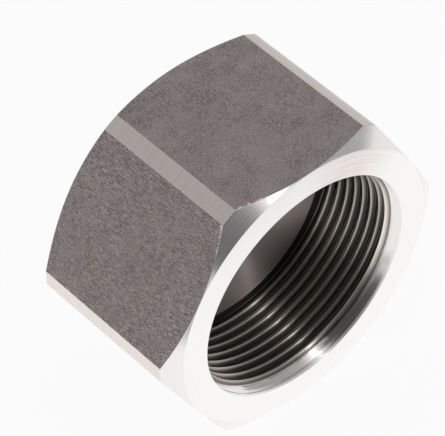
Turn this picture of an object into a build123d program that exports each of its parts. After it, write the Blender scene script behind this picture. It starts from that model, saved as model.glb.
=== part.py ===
from build123d import *
import math
import os

# Hexagonal bar stock, millimetres. The turning axis lies along Y with the mouth at the -Y end,
# and the cap lies on one flat: Z = 0 is that flat, X = 0 and Y = 0 are the middle of the footprint.
across_flats = 56.0
apothem = across_flats / 2
overall_length = 33.6
half_length = overall_length / 2

# Metric thread: nominal diameter, and the height of its ridges. The bore wall stands at their crests.
thread_major = 45.0
thread_height = 0.9
crest_r = thread_major / 2 - thread_height

# Mouth: a narrow edge break, then a plain counterbore at the thread's major diameter,
# ending in a lead-in cone at the first crest.
counterbore_r = thread_major / 2
mouth_break_radial = 0.15
mouth_break_axial = 0.4
mouth_r = counterbore_r + mouth_break_radial
counterbore_depth = 2.5
lead_in_angle = 45.0
lead_in_end = counterbore_depth + thread_height / math.tan(math.radians(lead_in_angle))

# Outside turning, alike at both ends: a flat ring round the mouth, then a chamfer out to the
# one diameter that the corners of the bar are skimmed to.
face_ring_width = 5.3
end_chamfer_width = 3.5
end_chamfer_angle = 30.0
end_face_r = mouth_r + face_ring_width
corner_r = end_face_r + end_chamfer_width
end_chamfer_depth = end_chamfer_width * math.tan(math.radians(end_chamfer_angle))

# Bottom of the bore: a raised flat seat inside the groove where the thread cutter runs out.
seat_depth = 18.3
seat_clearance = 1.6
seat_edge_break = 0.2
seat_r = crest_r - seat_clearance
runout_lead = 0.1
runout_start = seat_depth - runout_lead
runout_clearance = 0.1
runout_r = counterbore_r + runout_clearance
runout_shoulder_angle = 45.0
runout_shoulder_end = runout_start + (runout_r - crest_r) / math.tan(math.radians(runout_shoulder_angle))
groove_below_seat = 2.1
groove_depth = seat_depth + groove_below_seat
groove_corner_radius = 0.6


def at(radius, depth):
    """A point of the turned half section: its radius and its depth behind the mouth face."""
    return (radius, depth - half_length)


# One half section carries the whole turning: outside, both chamfers, bore, run-out groove and seat.
half_section_points = [
    at(0, overall_length),
    at(end_face_r, overall_length),
    at(corner_r, overall_length - end_chamfer_depth),
    at(corner_r, end_chamfer_depth),
    at(end_face_r, 0),
    at(mouth_r, 0),
    at(counterbore_r, mouth_break_axial),
    at(counterbore_r, counterbore_depth),
    at(crest_r, lead_in_end),
    at(crest_r, runout_start),
    at(runout_r, runout_shoulder_end),
    at(runout_r, groove_depth),
    at(seat_r, groove_depth),
    at(seat_r, seat_depth + seat_edge_break),
    at(seat_r - seat_edge_break, seat_depth),
    at(0, seat_depth),
]

with BuildSketch(Plane.XY) as half_section:
    with BuildLine():
        Polyline(*half_section_points, close=True)
    make_face()
    groove_floor = [
        corner for corner in half_section.vertices()
        if abs(corner.Y - (groove_depth - half_length)) < 0.001
    ]
    fillet(groove_floor, radius=groove_corner_radius)

turning = revolve(half_section.sketch, axis=Axis.Y)

# The bar runs the full length with two of its flats level.
with BuildSketch(Plane.XZ) as bar_section:
    RegularPolygon(radius=apothem, side_count=6, major_radius=False)
bar = extrude(bar_section.sketch, amount=half_length, both=True)

# The flats are what the skimming and the chamfers left of the bar, so their ends are true arcs.
end_cap = Pos(0, 0, apothem) * (bar & turning)
end_cap.label = "end_cap"

os.makedirs("parts", exist_ok=True)
export_step(end_cap, "parts/end_cap.step")
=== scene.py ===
import math

import bpy
import numpy as np
from mathutils import Matrix, Vector


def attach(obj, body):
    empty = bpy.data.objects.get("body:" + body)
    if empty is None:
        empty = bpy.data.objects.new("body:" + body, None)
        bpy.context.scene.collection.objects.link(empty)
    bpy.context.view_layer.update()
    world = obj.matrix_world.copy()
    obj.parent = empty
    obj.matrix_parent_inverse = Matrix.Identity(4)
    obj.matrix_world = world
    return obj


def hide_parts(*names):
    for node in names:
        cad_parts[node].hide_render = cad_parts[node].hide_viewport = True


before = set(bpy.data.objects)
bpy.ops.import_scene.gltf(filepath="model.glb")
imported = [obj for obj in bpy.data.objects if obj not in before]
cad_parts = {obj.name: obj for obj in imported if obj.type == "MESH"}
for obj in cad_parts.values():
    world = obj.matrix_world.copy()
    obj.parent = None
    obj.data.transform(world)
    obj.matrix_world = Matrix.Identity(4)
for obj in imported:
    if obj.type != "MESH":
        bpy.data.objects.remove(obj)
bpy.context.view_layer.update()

MM = 0.001
TAU = 2 * math.pi

# Sizes of the turned cap in millimetres, as in the CAD part, but for the corner radius, which is a hair
# smaller so that the mesh stays inside the part. Depths are measured behind the mouth face.
APOTHEM = 28.0
LENGTH = 33.6
CORNER_R = 31.445
FACE_R = 27.95
CHAMFER_SLOPE = math.tan(math.radians(30))
MOUTH_R = 22.65
BORE_R = 22.5
MOUTH_BREAK = 0.4
COUNTERBORE = 2.5
GROOVE_R = 22.6
GROOVE_START = 18.2
GROOVE_SHOULDER = 1.0
GROOVE_DEPTH = 20.4
GROOVE_CORNER = 0.6
SEAT_R = 20.0
SEAT_DEPTH = 18.3
SEAT_BREAK = 0.2

# The bar's six flats: the angle of the first one's normal, and the angle from each to the next.
SIDES = 6
SECTOR = math.radians(60)
FIRST_FLAT = math.radians(30)

# Internal thread: right-handed, with the depth of one crest at one angle.
PITCH = 2.0
CREST_R = 21.68
ROOT_R = 22.49
CREST_HALF = 0.22
ROOT_HALF = 0.20
THREAD_ROUND = 0.07
LEAD_IN_SLOPE = 1.0
FIRST_ROOT_END = 3.1
FIRST_CREST_DEPTH = 3.46
FIRST_CREST_ANGLE = math.radians(280)
THREAD_TURNS = range(-2, 11)

# Fine line that the deburring tool left round the lower part of the mouth, and where it fades out.
SCORE_DEPTH = 0.10
SCORE_WIDTH = 0.22
SCORE_GAP = 0.01
SCORE_LOW = math.radians(225)
SCORE_LEVEL = math.radians(268)
SCORE_DROP = 0.45
SCORE_FULL = math.radians(300)
SCORE_END = math.radians(322)
SCORE_START = math.radians(180)

# Radii that the edges of the section are rounded to.
EDGE_ROUND = 0.10
MOUTH_ROUND = 0.03
SEAT_ROUND = 0.04
FLAT_SOFT = 0.05

# How an arc of the section is cut: the most of each side it takes, and its support points.
ARC_STEPS = 3
GROOVE_ARC_STEPS = 5
SEAT_ARC_STEPS = 2
CUT_SHARE = 0.35
EDGE_SUPPORT = 0.05
SUPPORT_SHARE = 0.3
SUPPORT_LEAST = 0.001

# Mesh columns in degrees: their even step, and the close ones at each edge of a flat.
COLUMN_STEP = 1.5
ANGLE_DIGITS = 7
EDGE_COLUMNS = (-0.6, -0.3, -0.12, 0, 0.12, 0.3, 0.6)
EDGE_CLEAR = 0.7

# Zones and fill points between the corners of the outside, which of those corners are at the mouth's
# edge break, fill points of the seat, radius of the round facet that closes each end at the axis, and
# how near an end of the thread's wall a point is taken for a point of the ring there.
OUTSIDE_ZONES = ("face", "cone", "side", "cone", "face", "break", "bore")
OUTSIDE_FILL = (5, 3, 8, 3, 4, 0, 1)
MOUTH_CORNERS = (5, 6)
SEAT_FILL = 6
AXIS_HOLE = 0.02
WELD = 0.004
ZONE_SLACK = 0.01


def place(theta, radius, depth):
    """Row-frame point, in metres, of cylinder coordinates about the turning axis."""
    return (radius * math.cos(theta) * MM,
            (depth - LENGTH / 2) * MM,
            (APOTHEM + radius * math.sin(theta)) * MM)


def place_depth(point):
    """Depth behind the mouth, in millimetres, of a row-frame point."""
    return point[1] / MM + LENGTH / 2


def hexagon_radius(theta):
    """Radius of the hexagon bar at this angle."""
    off = (theta - FIRST_FLAT) % SECTOR
    off = min(off, SECTOR - off)
    return APOTHEM / math.cos(off)


def outline_radius(theta):
    """The bar's outline with its corners skimmed round, and the edge between the two just broken."""
    flat = hexagon_radius(theta)
    return 0.5 * (flat + CORNER_R - math.sqrt((flat - CORNER_R) ** 2 + FLAT_SOFT ** 2))


def angle_between(first, second):
    """Size of the angle from one direction to another, the short way round."""
    return abs((first - second + math.pi) % TAU - math.pi)


def column_angles():
    """Angles of the mesh columns: even ones, and close ones at each edge of a flat."""
    half_flat = math.acos(APOTHEM / CORNER_R)
    edges = []
    for flat in range(SIDES):
        normal = FIRST_FLAT + SECTOR * flat
        edges += [normal - half_flat, normal + half_flat]
    angles = set()
    for edge in edges:
        for off in EDGE_COLUMNS:
            angles.add(round((edge + math.radians(off)) % TAU, ANGLE_DIGITS))
    for step in range(round(360 / COLUMN_STEP)):
        angle = math.radians(step * COLUMN_STEP)
        if min(angle_between(angle, edge) for edge in edges) > math.radians(EDGE_CLEAR):
            angles.add(round(angle, ANGLE_DIGITS))
    return sorted(angles)


THETAS = column_angles()
COLUMNS = len(THETAS)


def rounded(before, corner, after, radius, steps=ARC_STEPS):
    """Points of a small arc that rounds the corner of a section, with a support point each side."""
    a = np.array(before, float) - corner
    b = np.array(after, float) - corner
    length_a = np.linalg.norm(a)
    length_b = np.linalg.norm(b)
    a = a / length_a
    b = b / length_b
    turn = math.acos(max(-1.0, min(1.0, float(np.dot(a, b)))))
    cut = radius / math.tan(turn / 2)
    cut = min(cut, CUT_SHARE * length_a, CUT_SHARE * length_b)
    support = min(EDGE_SUPPORT, SUPPORT_SHARE * cut + SUPPORT_LEAST)
    radius = cut * math.tan(turn / 2)
    middle = (a + b) / np.linalg.norm(a + b)
    centre = corner + middle * radius / math.sin(turn / 2)
    start = corner + a * cut - centre
    end = corner + b * cut - centre
    points = [corner + a * (cut + support)]
    for i in range(steps + 1):
        mix = start * (1 - i / steps) + end * (i / steps)
        points.append(centre + mix / np.linalg.norm(mix) * radius)
    points.append(corner + b * (cut + support))
    return [tuple(p) for p in points]


def between(p, q, count):
    """count points strictly between p and q."""
    return [(p[0] + (q[0] - p[0]) * i / (count + 1), p[1] + (q[1] - p[1]) * i / (count + 1))
            for i in range(1, count + 1)]


def score_depth(theta):
    """Depth of the fine line inside the mouth at this angle."""
    if theta < SCORE_START or theta > SCORE_END:
        return 0.0
    share = min(1.0, (SCORE_END - theta) / (SCORE_END - SCORE_FULL))
    return SCORE_DEPTH * share


def score_place(theta):
    """How far the fine line lies behind the edge break: it runs deeper on one side."""
    share = (SCORE_LEVEL - theta) / (SCORE_LEVEL - SCORE_LOW)
    return SCORE_DROP * max(0.0, min(1.0, share)) ** 2


def outside_section(theta):
    """Section points and zone names from the middle of the closed end round to the counterbore."""
    rim = outline_radius(theta)
    slope = (rim - FACE_R) * CHAMFER_SLOPE
    corners = [(0.0, LENGTH), (FACE_R, LENGTH), (rim, LENGTH - slope), (rim, slope), (FACE_R, 0.0),
               (MOUTH_R, 0.0), (BORE_R, MOUTH_BREAK), (BORE_R, COUNTERBORE)]
    points = [(AXIS_HOLE, LENGTH)]
    tags = []
    for i in range(1, len(corners) - 1):
        radius = MOUTH_ROUND if i in MOUTH_CORNERS else EDGE_ROUND
        arc = rounded(corners[i - 1], corners[i], corners[i + 1], radius)
        inner = between(points[-1], arc[0], OUTSIDE_FILL[i - 1])
        points += inner
        tags += [OUTSIDE_ZONES[i - 1]] * (len(inner) + 1)
        points += arc
        half = len(arc) // 2
        tags += [OUTSIDE_ZONES[i - 1]] * (half - 1) + [OUTSIDE_ZONES[i]] * (len(arc) - half)
    score_top = points[-1][1] + score_place(theta)
    points.append((BORE_R, score_top + SCORE_GAP))
    points.append((BORE_R + score_depth(theta), score_top + SCORE_WIDTH / 2))
    points.append((BORE_R, score_top + SCORE_WIDTH))
    tags += ["bore", "bore", "bore"]
    last = between(points[-1], corners[-1], OUTSIDE_FILL[-1])
    points += last + [corners[-1]]
    tags += [OUTSIDE_ZONES[-1]] * (len(last) + 1)
    return points, tags


def floor_section():
    """Section points and zones from the end of the thread to the middle of the seat."""
    corners = [(GROOVE_R, GROOVE_START + GROOVE_SHOULDER), (GROOVE_R, GROOVE_DEPTH),
               (SEAT_R, GROOVE_DEPTH), (SEAT_R, SEAT_DEPTH + SEAT_BREAK),
               (SEAT_R - SEAT_BREAK, SEAT_DEPTH), (0.0, SEAT_DEPTH)]
    rounds = [GROOVE_CORNER, GROOVE_CORNER, SEAT_ROUND, SEAT_ROUND]
    steps = [GROOVE_ARC_STEPS, GROOVE_ARC_STEPS, SEAT_ARC_STEPS, SEAT_ARC_STEPS]
    points = [corners[0]]
    tags = []
    for i in range(1, len(corners) - 1):
        arc = rounded(corners[i - 1], corners[i], corners[i + 1], rounds[i - 1], steps[i - 1])
        points += arc
        tags += ["groove"] * len(arc)
    centre = (AXIS_HOLE, SEAT_DEPTH)
    inner = between(points[-1], centre, SEAT_FILL)
    points += inner + [centre]
    tags += ["seat"] * (len(inner) + 1)
    return points, tags


def thread_radius(offset):
    """Wall radius at this axial distance from the nearest crest."""
    flank = PITCH / 2 - CREST_HALF - ROOT_HALF
    t = (abs(offset) - CREST_HALF) / flank
    t = max(0.0, min(1.0, t))
    # the crest and root corners are just rounded by easing the ends of the flank
    ease = THREAD_ROUND / flank
    if t < ease:
        t = t * t / (2 * ease)
    elif t > 1 - ease:
        u = 1 - t
        t = 1 - u * u / (2 * ease) - ease
    else:
        t = t - ease / 2
    t = t / (1 - ease)
    return CREST_R + (ROOT_R - CREST_R) * max(0.0, min(1.0, t))


def phase_samples():
    """Axial offsets within one pitch, from crest middle to crest middle, close at the corners."""
    flank = PITCH / 2 - CREST_HALF - ROOT_HALF
    half = [0.0, CREST_HALF * 0.6, CREST_HALF, CREST_HALF + THREAD_ROUND * 0.5, CREST_HALF + THREAD_ROUND,
            CREST_HALF + flank * 0.4, CREST_HALF + flank * 0.7,
            CREST_HALF + flank - THREAD_ROUND, CREST_HALF + flank - THREAD_ROUND * 0.5,
            CREST_HALF + flank, CREST_HALF + flank + ROOT_HALF * 0.5]
    return half + [PITCH / 2] + [PITCH - x for x in reversed(half[1:])]


def wall_radius(depth, offset):
    """Bore wall behind the counterbore: the thread, opened at both ends by plain cuts."""
    lead_in = min(BORE_R, BORE_R - (depth - COUNTERBORE) * LEAD_IN_SLOPE)
    run_out = min(CREST_R + (depth - GROOVE_START), GROOVE_R)
    return max(thread_radius(offset), lead_in, run_out)


def thread_zone(offset):
    """Zone of the thread at this axial distance behind a crest: crest, root or flank."""
    if offset < CREST_HALF + THREAD_ROUND or offset > PITCH - CREST_HALF - THREAD_ROUND:
        return "crest"
    if abs(offset - PITCH / 2) < ROOT_HALF + THREAD_ROUND / 2:
        return "root"
    return "flank"


def is_lead_in(depth, offset):
    """True where the lead-in cone has cut the thread away."""
    return BORE_R - (depth - COUNTERBORE) * LEAD_IN_SLOPE > thread_radius(offset)


class Shell:
    """Collects vertices and faces of one mesh, with a zone for each face."""

    def __init__(self):
        self.verts = []
        self.faces = []
        self.zones = []

    def ring(self, points):
        """Add these points and give back their numbers."""
        base = len(self.verts)
        self.verts += points
        return list(range(base, base + len(points)))

    def face(self, ids, zone):
        """Add a face, without the corners that fall together, unless nothing is left of it."""
        clean = [v for k, v in enumerate(ids) if v != ids[k - 1]]
        if len(set(clean)) >= 3:
            self.faces.append(clean)
            self.zones.append(zone)


def add_outside(shell):
    """Closed end, sides, mouth ring and counterbore. Gives back the last ring of points."""
    sections = [outside_section(t) for t in THETAS]
    rows = len(sections[0][0])
    rings = []
    for row in range(rows):
        rings.append(shell.ring([place(t, *sections[i][0][row]) for i, t in enumerate(THETAS)]))
    shell.face(tuple(rings[0]), "face")
    for row in range(rows - 1):
        for i in range(COLUMNS):
            j = (i + 1) % COLUMNS
            zone = sections[i][1][row]
            if zone == "side":
                middle = THETAS[i] + ((THETAS[j] - THETAS[i]) % TAU) / 2
                zone = "flat" if hexagon_radius(middle) < CORNER_R else "band"
            shell.face((rings[row][j], rings[row][i], rings[row + 1][i], rings[row + 1][j]), zone)
    return rings[-1]


def add_bore_floor(shell):
    """Run-out groove and raised seat. Gives back the ring where the thread's wall meets the groove."""
    points, tags = floor_section()
    rings = [shell.ring([place(t, *p) for t in THETAS]) for p in points]
    for row in range(len(rings) - 1):
        low = rings[row]
        high = rings[row + 1]
        for i in range(COLUMNS):
            j = (i + 1) % COLUMNS
            shell.face((low[j], low[i], high[i], high[j]), tags[row])
    shell.face(tuple(reversed(rings[-1])), "seat")
    return rings[0]


def thread_columns(shell, mouth_ring, groove_ring):
    """Points of the spiral grid by column, and whether each one lies where the lead-in cut the thread."""
    end = GROOVE_START + GROOVE_SHOULDER
    phases = phase_samples()
    grid = []
    plain = []
    for i, theta in enumerate(THETAS):
        base = FIRST_CREST_DEPTH - PITCH * (theta - FIRST_CREST_ANGLE) / TAU
        column = []
        cut = []
        for turn in THREAD_TURNS:
            for offset in phases:
                depth = base + PITCH * turn + offset
                near = offset if offset <= PITCH / 2 else offset - PITCH
                cut.append(is_lead_in(depth, near))
                if depth <= COUNTERBORE + WELD:
                    column.append(mouth_ring[i])
                elif depth >= end - WELD:
                    column.append(groove_ring[i])
                else:
                    column += shell.ring([place(theta, wall_radius(depth, near), depth)])
        grid.append(column)
        plain.append(cut)
    return grid, plain


def add_thread(shell, mouth_ring, groove_ring):
    """The thread as one spiral grid: a column's rows run on into the next turn at the seam."""
    grid, plain = thread_columns(shell, mouth_ring, groove_ring)
    phases = phase_samples()
    count = len(phases)
    total = len(grid[0])
    middles = [(a + b) / 2 for a, b in zip(phases, phases[1:] + [PITCH])]
    for i in range(COLUMNS):
        j = (i + 1) % COLUMNS
        shift = count if j == 0 else 0
        for g in range(shift, total - 1):
            h = g - shift
            zone = "lead_in" if plain[i][g] else thread_zone(middles[g % count])
            depth = place_depth(shell.verts[grid[j][h + 1]])
            if depth <= COUNTERBORE + ZONE_SLACK or (zone == "root" and depth < FIRST_ROOT_END):
                zone = "bore"
            shell.face((grid[i][g], grid[i][g + 1], grid[j][h + 1], grid[j][h]), zone)


def build_cap():
    """The whole cap as one closed mesh."""
    shell = Shell()
    mouth_ring = add_outside(shell)
    groove_ring = add_bore_floor(shell)
    add_thread(shell, mouth_ring, groove_ring)
    return shell


def mesh_object(name, shell, zone_materials):
    """Smooth-shaded object of the shell, with each zone's own material."""
    mesh = bpy.data.meshes.new(name)
    mesh.from_pydata(shell.verts, [], shell.faces)
    for finish in zone_materials.values():
        mesh.materials.append(finish)
    slots = {zone: slot for slot, zone in enumerate(zone_materials)}
    mesh.polygons.foreach_set("material_index", [slots[zone] for zone in shell.zones])
    mesh.polygons.foreach_set("use_smooth", [True] * len(mesh.polygons))
    mesh.update()
    mesh.validate()
    obj = bpy.data.objects.new(name, mesh)
    bpy.context.collection.objects.link(obj)
    return obj


class Nodes:
    """Short helper for building node trees."""

    def __init__(self, tree):
        self.tree = tree
        self.tree.nodes.clear()

    def plug(self, socket, value):
        """Link another node's output to this input, or set it to a plain value."""
        if isinstance(value, bpy.types.NodeSocket):
            self.tree.links.new(value, socket)
        else:
            socket.default_value = value

    def add(self, kind, inputs=None, **props):
        """New node with these inputs and properties."""
        node = self.tree.nodes.new(kind)
        for key, value in props.items():
            setattr(node, key, value)
        for key, value in (inputs or {}).items():
            self.plug(node.inputs[key], value)
        return node

    def math(self, operation, *values):
        """Result of one sum on one to three values."""
        node = self.add("ShaderNodeMath", operation=operation)
        for slot, value in enumerate(values):
            self.plug(node.inputs[slot], value)
        return node.outputs[0]

    def vector(self, x, y, z):
        """The three values as one vector."""
        node = self.add("ShaderNodeCombineXYZ")
        for slot, value in enumerate((x, y, z)):
            self.plug(node.inputs[slot], value)
        return node.outputs[0]

    def scaled(self, vector, share):
        """The vector or colour times one value."""
        return self.add("ShaderNodeVectorMath", {0: vector, 3: share}, operation="SCALE").outputs[0]

    def ramp(self, value, stops):
        """Colour of this value on a ramp of places and colours."""
        node = self.add("ShaderNodeValToRGB", {"Fac": value})
        elements = node.color_ramp.elements
        while len(elements) > 1:
            elements.remove(elements[-1])
        for k, (position, colour) in enumerate(stops):
            element = elements[0] if k == 0 else elements.new(position)
            element.position = position
            element.color = (*colour, 1)
        return node.outputs["Color"]

    def noise(self, vector, scale, detail=2.0, rough=0.5):
        """Smooth noise from 0 to 1 about 0.5."""
        node = self.add("ShaderNodeTexNoise", {"Vector": vector, "Scale": scale, "Detail": detail,
                                               "Roughness": rough})
        return node.outputs["Fac"]

    def spread(self, value, low, high, to_low, to_high):
        """Map low..high to to_low..to_high, held at both ends."""
        node = self.add("ShaderNodeMapRange", {"Value": value, "From Min": low, "From Max": high,
                                               "To Min": to_low, "To Max": to_high})
        return node.outputs["Result"]

    def blend(self, layers):
        """Sum of weighted noises, each taken about its middle, so that the whole stays about 0.5."""
        total = 0.5
        for value, weight in layers:
            total = self.math("MULTIPLY_ADD", self.math("SUBTRACT", value, 0.5), weight, total)
        return total

    def tint(self, colour, tone, share):
        """Move a colour toward a fixed tone by this share."""
        node = self.add("ShaderNodeMix", {"Factor": share}, data_type="RGBA")
        self.tree.links.new(colour, node.inputs[6])
        node.inputs[7].default_value = (*tone, 1)
        return node.outputs[2]

    def near(self, value, middle, full, fade):
        """1 where the value is within full of its middle, 0 from fade on."""
        off = self.math("ABSOLUTE", self.math("SUBTRACT", value, middle))
        return self.spread(off, full, fade, 1.0, 0.0)


def material(name):
    """New node material and the helper that fills its tree."""
    mat = bpy.data.materials.new(name)
    mat.use_nodes = True
    return mat, Nodes(mat.node_tree)


def coordinates(n):
    """Object coordinates in millimetres: x, depth behind the mouth, height about the axis, radius, angle."""
    coord = n.add("ShaderNodeTexCoord").outputs["Object"]
    parts = n.add("ShaderNodeSeparateXYZ", {"Vector": coord}).outputs
    x = n.math("MULTIPLY", parts[0], 1000)
    d = n.math("MULTIPLY_ADD", parts[1], 1000, LENGTH / 2)
    z = n.math("MULTIPLY_ADD", parts[2], 1000, -APOTHEM)
    r = n.math("SQRT", n.math("ADD", n.math("MULTIPLY", x, x), n.math("MULTIPLY", z, z)))
    angle = n.math("ARCTAN2", z, x)
    return x, d, z, r, angle


# Turning marks: how fast fine and broad marks change round the axis, how many broad ones there are in a
# millimetre, the fine ones' share of the whole, and the noise levels between which the marks run.
FINE_TURN = 1.2
BROAD_TURN = 0.8
BROAD_FEED = 1.1
FINE_SHARE = 0.6
MARK_LOW = 0.3
MARK_HIGH = 0.7
ROUGH_SWING = 0.1

# Painted shade: how far outside the crests the thread's darker roots start and are full, and how far
# behind the counterbore the lead-in's darker corner ends.
ROOT_SHADE_START = 0.05
ROOT_SHADE_FULL = 0.5
CORNER_SHADE_REACH = 0.6

# Painted reflection on the mouth ring: a faint warm, dimmer patch.
PAINTED_REFLECTION_ANGLE = math.radians(66)
PAINTED_REFLECTION_FULL = math.radians(6)
PAINTED_REFLECTION_FADE = math.radians(26)
PAINTED_REFLECTION_TONE = (0.80, 0.73, 0.68)
PAINTED_REFLECTION_FEED = 2.0
PAINTED_REFLECTION_LEAST = 0.45
PAINTED_REFLECTION_DEPTH = 0.5
PAINTED_REFLECTION_DEEPEST = 1.0


def painted_reflection_share(n, d, r, angle):
    """Painted reflection's strength: a warm patch of faint arcs round the axis, on the mouth face only."""
    patch = n.near(angle, PAINTED_REFLECTION_ANGLE, PAINTED_REFLECTION_FULL, PAINTED_REFLECTION_FADE)
    rings = n.noise(n.vector(n.math("MULTIPLY", r, PAINTED_REFLECTION_FEED), angle, 5.0), 1.0, 3.0, 0.7)
    arcs = n.spread(rings, 0.4, 0.6, PAINTED_REFLECTION_LEAST, 1.0)
    front = n.math("MULTIPLY", patch, n.spread(d, PAINTED_REFLECTION_DEPTH, PAINTED_REFLECTION_DEEPEST, 1.0, 0.0))
    return n.math("MULTIPLY", front, arcs)


def turned_material(name, colour, rough, aniso, mark, feed=6.0, lean=0.0, dull=0.06, root=1.0,
                    corner=1.0, painted_reflection=False, dish=0.0):
    """Steel with turning marks round the axis, feed of them in a millimetre and mark millimetres high.

    lean tips the marks toward the mouth and dish tips those of the seat toward the axis, in degrees.
    dull darkens the marks. root and corner are the shares of the colour left in the roots of the thread
    and in the corner of the lead-in, as painted shade in those hollows. The flag after them adds the
    painted reflection on the mouth ring.
    """
    mat, n = material(name)
    x, d, z, r, angle = coordinates(n)
    along = n.math("ADD", r, d)
    fine = n.noise(n.vector(n.math("MULTIPLY", along, feed), n.math("MULTIPLY", angle, FINE_TURN), 0.0),
                   1.0, 3.0, 0.6)
    broad = n.noise(n.vector(n.math("MULTIPLY", along, BROAD_FEED),
                             n.math("MULTIPLY", angle, BROAD_TURN), 3.0), 1.0, 2.0)
    mix = n.math("ADD", n.math("MULTIPLY", fine, FINE_SHARE), n.math("MULTIPLY", broad, 1 - FINE_SHARE))
    dark = tuple(c * (1 - dull) for c in colour)
    tone = n.ramp(mix, [(MARK_LOW, dark), (MARK_HIGH, colour)])
    # Painted shade: the thread's colour grows darker toward its roots.
    if root < 1:
        tone = n.scaled(tone, n.spread(r, CREST_R + ROOT_SHADE_START, CREST_R + ROOT_SHADE_FULL, 1.0, root))
    # Painted shade: the lead-in's colour is darker in its corner by the counterbore.
    if corner < 1:
        tone = n.scaled(tone, n.spread(d, COUNTERBORE, COUNTERBORE + CORNER_SHADE_REACH, corner, 1.0))
    # Painted reflection: a warm dim patch on the mouth ring.
    if painted_reflection:
        tone = n.tint(tone, PAINTED_REFLECTION_TONE, painted_reflection_share(n, d, r, angle))
    roughness = n.spread(mix, MARK_LOW, MARK_HIGH, rough * (1 - ROUGH_SWING), rough * (1 + ROUGH_SWING))
    height = n.math("MULTIPLY_ADD", fine, mark, n.math("MULTIPLY", d, math.tan(math.radians(lean))))
    height = n.math("MULTIPLY_ADD", r, math.tan(math.radians(dish)), height)
    bump = n.add("ShaderNodeBump", {"Height": height, "Strength": 1.0, "Distance": MM})
    tangent = n.add("ShaderNodeTangent", direction_type="RADIAL", axis="Y")
    shader = n.add("ShaderNodeBsdfPrincipled", {"Base Color": tone, "Roughness": roughness,
                                                "Metallic": 1.0, "Anisotropic": aniso,
                                                "Anisotropic Rotation": 0.25,
                                                "Normal": bump.outputs[0], "Tangent": tangent.outputs[0]})
    n.add("ShaderNodeOutputMaterial", {"Surface": shader.outputs[0]})
    return mat


# Mill surface of the flats: features in a millimetre of each layer.
GRAIN_SCALE = 5.0
MOTTLE_SCALE = 0.30
STREAK_ACROSS = 7.5
STREAK_ALONG = 0.90
STREAK_PATCH_SCALE = 0.22
PIT_SCALE = 1.3
PIT_PATCH_SCALE = 0.55
CREASE_SCALE = 1.5
CREASE_PATCH_SCALE = 0.28

# How much the layers change the surface: shares of its tone, share of its height that a pit sinks, how
# the creases are stretched along the bar, the relief in millimetres, and the tones from dark to light.
PIT_DARK = 0.10
PIT_SINK = 0.25
CREASE_SQUASH = 0.8
CREASE_DARK = -0.17
# Painted light: how much lighter the level flats are made than the steep ones.
TOP_PAINTED_LIGHT = 0.115
SIDE_WEIGHTS = {"grain": 1.05, "streak": 0.75, "mottle": 0.14}
TOP_WEIGHTS = {"grain": 1.35, "streak": 0.10, "mottle": 0.20}
MILL_RELIEF = 0.16
MILL_TONES = [(0.32, (0.20, 0.168, 0.158)), (0.44, (0.31, 0.268, 0.257)),
              (0.53, (0.39, 0.343, 0.334)), (0.66, (0.54, 0.482, 0.472))]

# Torn burr that the chamfer tool left on the front edge of the two flats beside one corner.
BURR_ANGLE = math.radians(118)
BURR_FULL = math.radians(6)
BURR_FADE = math.radians(16)
BURR_LINE = 0.12
BURR_DEPTH = 0.70
BURR_SCALE = 2.2
BURR_SHARP = 0.03
BURR_SHADE_REACH = 0.30
BURR_SHADE = 0.6
BURR_DARK = (0.10, 0.085, 0.08)
BURR_BRIGHT = (0.92, 0.88, 0.87)


def pits(n, point):
    """Small round pits, in patches: 1 at the middle of a pit."""
    cell = n.add("ShaderNodeTexVoronoi", {"Vector": point, "Scale": PIT_SCALE, "Randomness": 1.0})
    pit = n.spread(cell.outputs["Distance"], 0.05, 0.35, 1.0, 0.0)
    patchy = n.spread(n.noise(point, PIT_PATCH_SCALE, 2.0, 0.5), 0.5, 0.68, 0.0, 1.0)
    return n.math("MULTIPLY", pit, patchy)


def draw_streaks(n, x, d, z, point):
    """Fine streaks along the bar, clearer in some patches than in others."""
    streak = n.noise(n.vector(n.math("MULTIPLY", x, STREAK_ACROSS), n.math("MULTIPLY", d, STREAK_ALONG),
                              n.math("MULTIPLY", z, STREAK_ACROSS)), 1.0, 2.0, 0.5)
    crisp = n.spread(n.noise(point, STREAK_PATCH_SCALE, 2.0, 0.5), 0.42, 0.62, 0.6, 1.2)
    return n.math("MULTIPLY_ADD", n.math("SUBTRACT", streak, 0.5), crisp, 0.5)


def creases(n, x, d, point):
    """Short dark creases of the rolled skin, in patches."""
    field = n.noise(n.vector(x, n.math("MULTIPLY", d, CREASE_SQUASH), 7.0), CREASE_SCALE, 3.0, 0.6)
    crease = n.near(field, 0.5, 0.010, 0.045)
    patchy = n.spread(n.noise(point, CREASE_PATCH_SCALE, 2.0, 0.5), 0.40, 0.56, 0.3, 1.0)
    return n.math("MULTIPLY", crease, patchy)


def level_share(n):
    """1 on the flats that lie level, 0 on the steep ones."""
    normal = n.add("ShaderNodeNewGeometry").outputs["True Normal"]
    up = n.math("ABSOLUTE", n.add("ShaderNodeSeparateXYZ", {"Vector": normal}).outputs[2])
    return n.spread(up, 0.6, 0.9, 0.0, 1.0)


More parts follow.
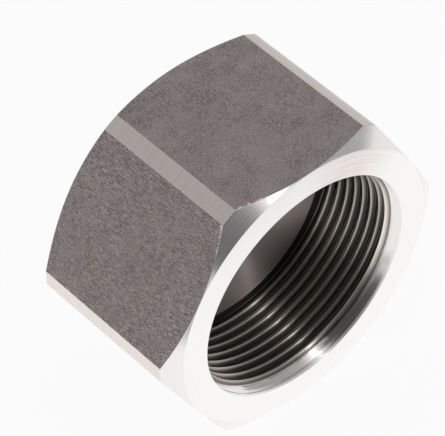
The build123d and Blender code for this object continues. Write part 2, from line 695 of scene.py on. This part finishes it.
def add_burr(n, colour, x, d, z, r, angle):
    """Bright torn metal along the chamfered edge of the flats, with shade behind its ragged parts."""
    edge = n.math("SUBTRACT", d, n.math("MULTIPLY", n.math("SUBTRACT", r, FACE_R), CHAMFER_SLOPE))
    across = n.vector(n.math("MULTIPLY", x, BURR_SCALE), n.math("MULTIPLY", z, BURR_SCALE), 0.0)
    ragged = n.spread(n.noise(across, 1.0, 3.0, 0.7), 0.46, 0.60, 0.0, 1.0)
    beside = n.near(angle, BURR_ANGLE, BURR_FULL, BURR_FADE)
    width = n.math("MULTIPLY_ADD", ragged, BURR_DEPTH - BURR_LINE, BURR_LINE)
    behind = n.math("SUBTRACT", edge, n.math("MULTIPLY", beside, width))
    torn = n.spread(behind, -BURR_SHARP, BURR_SHARP, 1.0, 0.0)
    shaded = n.math("MULTIPLY", n.spread(behind, BURR_SHARP, BURR_SHADE_REACH, 1.0, 0.0), ragged)
    shaded = n.math("MULTIPLY", shaded, beside)
    colour = n.tint(colour, BURR_DARK, n.math("MULTIPLY", shaded, BURR_SHADE))
    return n.tint(colour, BURR_BRIGHT, torn)


def mill_material(name):
    """Drawn bar: dark, grained, pitted; level flats creased, with painted light; steep ones streaked."""
    mat, n = material(name)
    x, d, z, r, angle = coordinates(n)
    point = n.vector(x, d, z)
    layers = {"grain": n.noise(point, GRAIN_SCALE, 2.0, 0.6),
              "streak": draw_streaks(n, x, d, z, point),
              "mottle": n.noise(point, MOTTLE_SCALE, 3.0, 0.55)}
    pit = pits(n, point)
    side_mix = n.blend([(layers[layer], weight) for layer, weight in SIDE_WEIGHTS.items()])
    top_mix = n.blend([(layers[layer], weight) for layer, weight in TOP_WEIGHTS.items()])
    # Painted light: the level flats' tone is lifted above that of the steep ones.
    top_mix = n.math("MULTIPLY_ADD", creases(n, x, d, point), CREASE_DARK,
                     n.math("ADD", top_mix, TOP_PAINTED_LIGHT))
    mixed = n.add("ShaderNodeMix", {"Factor": level_share(n), "A": side_mix, "B": top_mix},
                  data_type="FLOAT")
    mix = n.math("SUBTRACT", mixed.outputs["Result"], n.math("MULTIPLY", pit, PIT_DARK))
    colour = add_burr(n, n.ramp(mix, MILL_TONES), x, d, z, r, angle)
    rough = n.spread(mix, 0.35, 0.65, 0.60, 0.46)
    height = n.math("SUBTRACT", mix, n.math("MULTIPLY", pit, PIT_SINK))
    bump = n.add("ShaderNodeBump", {"Height": height, "Strength": 1.0, "Distance": MILL_RELIEF * MM})
    shader = n.add("ShaderNodeBsdfPrincipled", {"Base Color": colour, "Roughness": rough,
                                                "Metallic": 1.0, "Normal": bump.outputs[0]})
    n.add("ShaderNodeOutputMaterial", {"Surface": shader.outputs[0]})
    return mat


def cap_finishes():
    """The material of each zone of the cap."""
    # The mouth face carries the painted reflection of the warm patch.
    faced = turned_material("faced_steel", (0.95, 0.94, 0.925), 0.20, 0.4, mark=0.008, dull=0.03,
                            painted_reflection=True)
    chamfered = turned_material("chamfered_steel", (0.91, 0.87, 0.872), 0.15, 0.5, mark=0.006, dull=0.05)
    skimmed = turned_material("skimmed_steel", (0.85, 0.775, 0.73), 0.28, 0.5, mark=0.012, dull=0.10)
    mill = mill_material("mill_steel")
    bored = turned_material("bored_steel", (0.88, 0.85, 0.84), 0.22, 0.9, mark=0.010, feed=5.0, lean=42)
    # The lead-in's corner by the counterbore carries painted shade.
    lead_in = turned_material("lead_in_steel", (0.86, 0.81, 0.73), 0.26, 0.9, mark=0.008, feed=7.0,
                              corner=0.10)
    # The thread's roots carry painted shade.
    threaded = turned_material("threaded_steel", (0.58, 0.54, 0.48), 0.24, 0.95, mark=0.008, feed=7.0,
                               dull=0.15, root=0.30)
    # Painted shade: the undercut groove's steel is made near black where the deep groove lies in shadow.
    shaded_undercut = turned_material("undercut_painted_shade", (0.22, 0.20, 0.17), 0.35, 0.8, mark=0.010, feed=5.0)
    seat = turned_material("seat_steel", (0.46, 0.405, 0.375), 0.42, 1.0, mark=0.003, dish=3)
    return {"face": faced, "cone": chamfered, "band": skimmed, "flat": mill, "break": bored,
            "bore": bored, "lead_in": lead_in, "crest": threaded, "flank": threaded,
            "root": threaded, "groove": shaded_undercut, "seat": seat}


cap = mesh_object("end_cap_steel", build_cap(), cap_finishes())
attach(cap, "root")
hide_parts("end_cap")

# Studio floor, in metres. What metal mirrors of it is darker in a pool ahead of the mouth and beyond
# the far side, and the camera sees it white but for the cap's faint shadow.
FLOOR_R = 0.30
FLOOR_Z = -0.0002
FLOOR_SIDES = 96
POOL_FRONT = -0.056
POOL_DEEP = -0.080
POOL_MIDDLE_X = 0.015
POOL_HALF_WIDTH = 0.055
POOL_SIDE_FADE = 0.03
POOL_LEVEL = 0.25
FAR_SIDE_X = 0.06
FAR_SIDE_FADE = 0.06
FAR_SIDE_LEVEL = 0.92
FLOOR_SHADOW = 0.06
FLOOR_COLOUR = (0.9, 0.9, 0.9, 1)
WHITE = (1, 1, 1, 1)


def mirrored_floor(n):
    """Level at which metal mirrors the floor at each place."""
    coord = n.add("ShaderNodeTexCoord").outputs["Object"]
    spot = n.add("ShaderNodeSeparateXYZ", {"Vector": coord}).outputs
    ahead = n.spread(spot[1], POOL_FRONT, POOL_DEEP, 0.0, 1.0)
    aside = n.math("ABSOLUTE", n.math("SUBTRACT", spot[0], POOL_MIDDLE_X))
    across = n.spread(aside, POOL_HALF_WIDTH, POOL_HALF_WIDTH + POOL_SIDE_FADE, 1.0, 0.0)
    pool = n.math("MULTIPLY_ADD", n.math("MULTIPLY", ahead, across), POOL_LEVEL - 1.0, 1.0)
    far_side = n.spread(spot[0], FAR_SIDE_X, FAR_SIDE_X + FAR_SIDE_FADE, 1.0, FAR_SIDE_LEVEL)
    return n.math("MULTIPLY", pool, far_side)


def build_floor():
    """Round studio floor just under the cap, glowing for the camera and for what metal mirrors."""
    bpy.ops.mesh.primitive_circle_add(vertices=FLOOR_SIDES, radius=FLOOR_R, fill_type="NGON",
                                      location=(0, 0, FLOOR_Z))
    floor = bpy.context.object
    floor.name = "studio_floor"
    mat, n = material("studio_floor")
    path = n.add("ShaderNodeLightPath").outputs
    mirrored = n.math("MAXIMUM", path["Is Glossy Ray"], path["Is Transmission Ray"])
    level = n.math("ADD", path["Is Camera Ray"], n.math("MULTIPLY", mirrored, mirrored_floor(n)))
    seen = n.math("MAXIMUM", path["Is Camera Ray"], mirrored)
    share = n.math("SUBTRACT", seen, n.math("MULTIPLY", path["Is Camera Ray"], FLOOR_SHADOW))
    diffuse = n.add("ShaderNodeBsdfDiffuse", {"Color": FLOOR_COLOUR})
    glow = n.add("ShaderNodeEmission", {"Color": WHITE, "Strength": level})
    mixed = n.add("ShaderNodeMixShader", {0: share, 1: diffuse.outputs[0], 2: glow.outputs[0]})
    n.add("ShaderNodeOutputMaterial", {"Surface": mixed.outputs[0]})
    floor.data.materials.append(mat)
    return floor


# Room light, and its darker parts: the direction of each, the cosines of the angle from it at which the
# part is full and at which it ends, and how much it takes away.
WORLD_LEVEL = 0.62
WORLD_LEAST = 0.05
DARK_PARTS = (((-0.40, -0.1, 0.9), 0.95, 0.3, 0.20),
              ((-0.35, -0.85, 0.33), 0.88, 0.80, 0.52),
              ((0.8, -0.5, 0.3), 0.97, 0.70, 0.24))


def toward(n, direction, towards, start, end):
    """1 where the direction lies close round another, fading to 0: start and end are cosines."""
    towards = Vector(towards).normalized()
    dot = n.add("ShaderNodeVectorMath", {0: direction, 1: tuple(towards)}, operation="DOT_PRODUCT")
    node = n.add("ShaderNodeMapRange", {"Value": dot.outputs["Value"], "From Min": end, "From Max": start,
                                        "To Min": 0.0, "To Max": 1.0}, interpolation_type="SMOOTHSTEP")
    return node.outputs["Result"]


def build_world():
    """White for the camera, and a plain room with a few darker parts for everything else."""
    world = bpy.data.worlds.new("studio_world")
    bpy.context.scene.world = world
    world.use_nodes = True
    n = Nodes(world.node_tree)
    camera_ray = n.add("ShaderNodeLightPath").outputs["Is Camera Ray"]
    direction = n.add("ShaderNodeTexCoord").outputs["Generated"]
    level = WORLD_LEVEL
    for towards, start, end, amount in DARK_PARTS:
        dark = n.math("MULTIPLY", toward(n, direction, towards, start, end), amount)
        level = n.math("SUBTRACT", level, dark)
    level = n.math("MAXIMUM", level, WORLD_LEAST)
    strength = n.math("ADD", n.math("MULTIPLY", camera_ray, n.math("SUBTRACT", 1.0, level)), level)
    back = n.add("ShaderNodeBackground", {"Color": WHITE, "Strength": strength})
    n.add("ShaderNodeOutputWorld", {"Surface": back.outputs[0]})


# One softbox ahead of the mouth with a brighter strip in its middle: metres and watts.
AXIS_MIDDLE = Vector((0, 0, APOTHEM * MM))
LAMP_SIDE = Vector((0.24, -0.90, 0.36))
LAMP_HEIGHT = 0.60
SOFTBOX_REACH = 0.80
SOFTBOX_WIDTH = 0.19
SOFTBOX_POWER = 0.15
STRIP_REACH = 0.79
STRIP_WIDTH = 0.03
STRIP_POWER = 0.16


def lamp(name, reach, width, power):
    """Lamp that faces the middle of the turning axis, reach times LAMP_SIDE away from it."""
    data = bpy.data.lights.new(name, "AREA")
    data.shape = "RECTANGLE"
    data.size = width
    data.size_y = LAMP_HEIGHT
    data.energy = power
    obj = bpy.data.objects.new(name, data)
    obj.location = AXIS_MIDDLE + LAMP_SIDE * reach
    obj.rotation_euler = (AXIS_MIDDLE - obj.location).to_track_quat("-Z", "Y").to_euler()
    bpy.context.collection.objects.link(obj)
    return obj


# Camera fitted to the photograph: its place in metres, its right and backward directions, and its lens.
CAMERA_PLACE = Vector((-0.24066, -0.26596, 0.41936))
CAMERA_RIGHT = Vector((0.7427, -0.6696, -0.0061))
CAMERA_BACK = Vector((-0.4516, -0.5076, 0.7337))
CAMERA_LENS = 247.58
CAMERA_SENSOR = 36.0
CAMERA_CLIP = 0.01


def build_camera():
    """The fitted camera."""
    data = bpy.data.cameras.new("photo_camera")
    camera = bpy.data.objects.new("photo_camera", data)
    bpy.context.collection.objects.link(camera)
    data.sensor_width = CAMERA_SENSOR
    data.sensor_fit = "HORIZONTAL"
    data.lens = CAMERA_LENS
    data.clip_start = CAMERA_CLIP
    back = CAMERA_BACK.normalized()
    up = back.cross(CAMERA_RIGHT.normalized()).normalized()
    right = up.cross(back)
    camera.matrix_world = Matrix.LocRotScale(CAMERA_PLACE, Matrix((right, up, back)).transposed(), None)
    return camera


build_floor()
build_world()
lamp("front_lamp", SOFTBOX_REACH, SOFTBOX_WIDTH, SOFTBOX_POWER)
lamp("front_lamp_core", STRIP_REACH, STRIP_WIDTH, STRIP_POWER)

scene = bpy.context.scene
scene.camera = build_camera()
scene.view_settings.view_transform = "Standard"
